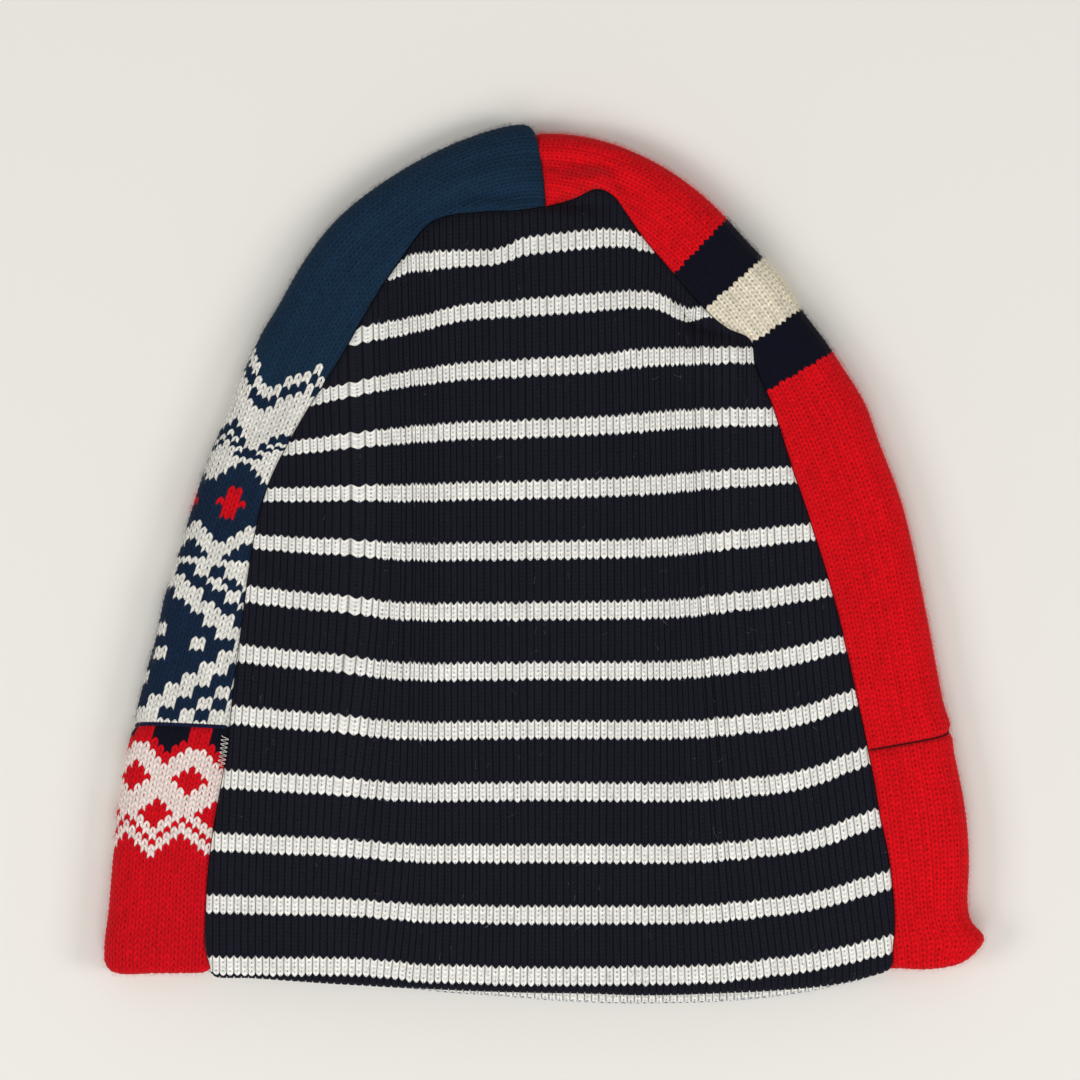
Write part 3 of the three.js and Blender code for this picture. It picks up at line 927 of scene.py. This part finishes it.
CROSS_THREADS = [("left", 0.55, srgb(24, 30, 66)), ("right", 0.17, srgb(60, 8, 14))]  # radius and colour
THREAD_DEPTH = GROOVE_DEPTH - 0.5
for side, radius, colour in CROSS_THREADS:
    line = cross_lines[side]
    front_end = front_seam_t(line(np.full(1, 25.0)))[0] - 0.6
    across = np.arange(-BACK_SEAM_T + 1, front_end, 0.3)
    thread = seam_tube(
        f"{side}_cross_thread", line(across), across, THREAD_DEPTH, radius, radius, (1.1, 0.25), colour
    )

# White loops of the overlocking show where the left seam pulls open, below the cross seam.
loop_s = np.arange(65.5, 75.3, 0.12)
loop_t = front_seam_t(loop_s) - 0.9 + 1.1 * np.sin(2 * math.pi * loop_s / 1.3)
loops = seam_tube("left_seam_loops", loop_s, loop_t, -0.1, 0.11, 0.1, (1.1, 0.2), WHITE_THREAD)


# ---- Loose fibres ----

LOWEST_FIBRE = 0.05  # clear of the table
PALE_FIBRE = np.array([0.75, 0.7, 0.68])


def fibres(name, sources, length, radius, lift, pale, steepest):
    """Fine curved hairs that stand off the cloth. sources gives each piece's number of hairs, and steepest
    is the greatest upward part of the cloth's normal where they grow."""
    roots, ups, tints = [], [], []
    for source, count in sources:
        points, normals, colours = surfaces[source]
        side = (normals[:, 2] < steepest) & (points[:, 2] > 2)
        points, normals, colours = points[side], normals[side], colours[side]
        chosen = rng.integers(0, len(points), count)
        roots.append(points[chosen])
        ups.append(normals[chosen])
        tints.append(colours[chosen])
    root, up, tint = np.concatenate(roots), np.concatenate(ups), np.concatenate(tints)
    count = len(root)
    aside = np.cross(up, rng.normal(size=(count, 3)))
    aside /= np.linalg.norm(aside, axis=1)[:, None]
    curl = np.cross(up, aside) * rng.normal(0, 0.5, (count, 1))
    size = length * rng.uniform(0.4, 1.3, (count, 1))
    high = lift * rng.uniform(0.3, 1.2, (count, 1))
    steps = np.array([0, 0.35, 0.7, 1.0])
    path = np.stack([
        root + size * (aside * p + curl * p * p) + up * (high * math.sin(p * 2.4)) for p in steps
    ], 1)
    sides = 3
    angles = np.arange(sides) * 2 * math.pi / sides
    ring = np.cos(angles)[:, None] * np.array([1, 0, 0]) + np.sin(angles)[:, None] * np.array([0, 0.8, 0.6])
    thick = radius * np.array([1, 0.9, 0.7, 0.25])
    points = path[:, :, None] + ring[None, None] * thick[None, :, None, None]
    points[..., 2] = np.maximum(points[..., 2], LOWEST_FIBRE)
    faces = []
    for level in range(len(steps) - 1):
        here, there = level * sides, (level + 1) * sides
        for i in range(sides):
            j = (i + 1) % sides
            faces.append([here + i, here + j, there + j, there + i])
    first_vertex = np.arange(count) * len(steps) * sides
    every = (np.array(faces)[None] + first_vertex[:, None, None]).reshape(-1, 4)
    tint = np.clip(tint * (1 - pale) + PALE_FIBRE * pale, 0, 1)
    points = points.reshape(-1, 3)
    tints = np.repeat(tint, len(faces), 0)
    piece = make_piece(name, points, every.tolist(), tints, np.zeros(len(points)), smooth=False)
    piece.data.materials.append(wool)
    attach(piece, "root")
    return piece


fibres(
    "band_fibres_left", [("side_band_left_lower_knit", 2500), ("side_band_left_upper_knit", 7000)],
    1.7, 0.013, 1.0, 0.02, 0.75,
)
fibres(
    "band_fibres_right", [("side_band_right_upper_knit", 9000), ("side_band_right_lower_knit", 3000)],
    1.9, 0.013, 1.1, 0.02, 0.75,
)
fibres("panel_fibres", [("front_panel_knit", 260)], 2.2, 0.014, 0.4, 0.4, 2)


# ---- What is cloth ----

HEM_CLOTH = HALF_TURN + HEM
CUT_STEP = 0.5
BRIM_ROW = 8  # the first row of a panel that the brim's curve doesn't cut
LEFT_CROSS_S = 72.5  # where each cross seam lies, on average
CROWN_CROSS_S = 302.5
RIGHT_CROSS_S = EDGE_LENGTH - 68.5


def panel_cut(seam, brim):
    """A panel's greatest width and length, and its area, with its hem, counted on a fine grid."""
    x, y = np.meshgrid(np.arange(-115, 115, CUT_STEP), np.arange(-135, 125, CUT_STEP))
    clear, _ = inside_curve(x, y, seam)
    widths = ((clear > 0) & (y > brim(x))).sum(1) * CUT_STEP
    widths = widths[widths > 0]
    length = (len(widths) - 1) * CUT_STEP + HEM_CLOTH
    area = widths.sum() * CUT_STEP + widths[BRIM_ROW] * HEM_CLOTH
    return widths.max(), length, area


def band_cut(start, end, hem_end=None):
    """The same for a piece of the band. hem_end is the end with a hem: 0, the start, or -1."""
    s = np.linspace(start, end, 800)
    widths = front_seam_t(s) + BACK_SEAM_T
    length = end - start
    area = ((widths[1:] + widths[:-1]) / 2 * np.diff(s)).sum()
    if hem_end is not None:
        length += HEM_CLOTH
        area += HEM_CLOTH * widths[hem_end]
    return widths.max(), length, area


cuts = {
    "front_panel": panel_cut(front_seam, FRONT_BRIM),
    "back_panel": panel_cut(back_seam, BACK_BRIM),
    "side_band_left_lower": band_cut(0, LEFT_CROSS_S, 0),
    "side_band_left_upper": band_cut(LEFT_CROSS_S, CROWN_CROSS_S),
    "side_band_right_upper": band_cut(CROWN_CROSS_S, RIGHT_CROSS_S),
    "side_band_right_lower": band_cut(RIGHT_CROSS_S, EDGE_LENGTH, -1),
}


# ---- Floor, lights and camera ----

floor_mesh = bpy.data.meshes.new("floor")
floor_mesh.from_pydata([(-3, -3, 0), (3, -3, 0), (3, 3, 0), (-3, 3, 0)], [], [(0, 1, 2, 3)])
floor = bpy.data.objects.new("floor", floor_mesh)
bpy.context.scene.collection.objects.link(floor)
floor_paint = bpy.data.materials.new("floor_paint")
floor_paint.use_nodes = True
floor_shader = floor_paint.node_tree.nodes["Principled BSDF"]
floor_shader.inputs["Base Color"].default_value = (*srgb(231, 228, 221), 1)
floor_shader.inputs["Roughness"].default_value = 0.9
floor_shader.inputs["Specular IOR Level"].default_value = 0.1
floor_mesh.materials.append(floor_paint)

world = bpy.data.worlds.new("studio")
world.use_nodes = True
world.node_tree.nodes["Background"].inputs["Color"].default_value = (1, 1, 1, 1)
world.node_tree.nodes["Background"].inputs["Strength"].default_value = 0.46
bpy.context.scene.world = world


def softbox(name, place, size, watts):
    data = bpy.data.lights.new(name, "AREA")
    data.size = size
    data.energy = watts
    light = bpy.data.objects.new(name, data)
    light.location = place
    light.rotation_euler = Vector(place).to_track_quat("Z", "Y").to_euler()
    bpy.context.scene.collection.objects.link(light)


softbox("brim_side", (0, -1.1, 1.5), 1.1, 10.5)
softbox("left", (-1.6, -0.35, 1.35), 0.8, 13)
softbox("right", (1.6, -0.35, 1.35), 0.8, 13)

PICTURE_WIDTH = 324
CAMERA_HEIGHT = 2200
camera_data = bpy.data.cameras.new("camera")
camera_data.sensor_width = 36
camera_data.lens = 36 * (CAMERA_HEIGHT - ROLL) / PICTURE_WIDTH
camera = bpy.data.objects.new("camera", camera_data)
camera.location = (-0.4 * MM, 7.8 * MM, CAMERA_HEIGHT * MM)
bpy.context.scene.collection.objects.link(camera)
bpy.context.scene.camera = camera
bpy.context.scene.view_settings.view_transform = "Standard"
